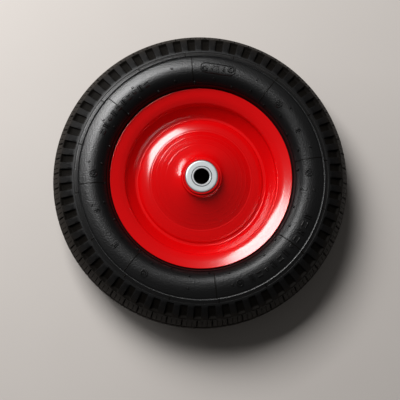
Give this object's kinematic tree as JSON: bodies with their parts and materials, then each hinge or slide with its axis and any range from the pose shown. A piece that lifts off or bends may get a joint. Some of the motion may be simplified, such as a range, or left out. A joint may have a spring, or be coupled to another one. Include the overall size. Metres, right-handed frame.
{
  "type": "wheelbarrow wheel",
  "caption": "Pneumatic wheelbarrow wheel: lugged black tyre with inner tube on a red pressed steel rim, with shielded ball bearings in its hub.",
  "frame": {"origin": "middle of the wheel, on its spin axis halfway between the bearing faces", "axes": "+Z along the spin axis, towards the side without the valve; the wheel lies on its rear side wall"},
  "size_m": [0.388, 0.388, 0.098],
  "materials": {
    "tyre": "satin",
    "tube_rubber": "matte",
    "red_paint": "gloss",
    "zinc_plate": "satin",
    "bearing_steel": "polished",
    "brass": "satin",
    "black_plastic": "matte"
  },
  "bodies": {
    "axle_seat": {"front_bearing_inner_ring": "bearing_steel", "rear_bearing_inner_ring": "bearing_steel", "spacer_sleeve": "bearing_steel"},
    "wheel": {"tyre": "tyre", "inner_tube": "tube_rubber", "rim_front": "red_paint", "rim_rear": "red_paint", "hub_tube": "red_paint", "front_bearing_outer_ring": "zinc_plate", "rear_bearing_outer_ring": "zinc_plate", "front_bearing_shield": "zinc_plate", "rear_bearing_shield": "zinc_plate", "valve_stem": "brass", "valve_core": "brass"},
    "front_ball_set": {"front_bearing_cage": "bearing_steel", "front_bearing_ball_1": "bearing_steel", "front_bearing_ball_2": "bearing_steel", "front_bearing_ball_3": "bearing_steel", "front_bearing_ball_4": "bearing_steel", "front_bearing_ball_5": "bearing_steel", "front_bearing_ball_6": "bearing_steel", "front_bearing_ball_7": "bearing_steel", "front_bearing_ball_8": "bearing_steel", "front_bearing_ball_9": "bearing_steel"},
    "rear_ball_set": {"rear_bearing_cage": "bearing_steel", "rear_bearing_ball_1": "bearing_steel", "rear_bearing_ball_2": "bearing_steel", "rear_bearing_ball_3": "bearing_steel", "rear_bearing_ball_4": "bearing_steel", "rear_bearing_ball_5": "bearing_steel", "rear_bearing_ball_6": "bearing_steel", "rear_bearing_ball_7": "bearing_steel", "rear_bearing_ball_8": "bearing_steel", "rear_bearing_ball_9": "bearing_steel"},
    "valve_cap": {"valve_cap": "black_plastic"},
    "valve_pin": {"valve_pin": "brass"}
  },
  "joints": [
    {"name": "wheel_spin", "type": "hinge", "parent": "axle_seat", "child": "wheel", "pos_m": [0, 0, 0], "axis": [0, 0, 1], "continuous": true},
    {"name": "front_balls_turn", "type": "hinge", "parent": "axle_seat", "child": "front_ball_set", "pos_m": [0, 0, 0.039], "axis": [0, 0, 1], "continuous": true},
    {"name": "rear_balls_turn", "type": "hinge", "parent": "axle_seat", "child": "rear_ball_set", "pos_m": [0, 0, -0.039], "axis": [0, 0, 1], "continuous": true},
    {"name": "valve_cap_pull", "type": "slide", "parent": "wheel", "child": "valve_cap", "axis": [0.2923, 0.7236, -0.6253], "range_m": [0, 0.012]},
    {"name": "valve_pin_press", "type": "slide", "parent": "wheel", "child": "valve_pin", "axis": [-0.2923, -0.7236, 0.6253], "range_m": [0, 0.0015], "stiffness_N_per_m": 150, "springref_m": -0.004}
  ],
  "couplings": [
    {"joint": "front_balls_turn", "follows": "wheel_spin", "ratio": 0.6024},
    {"joint": "rear_balls_turn", "follows": "wheel_spin", "ratio": 0.6024}
  ]
}
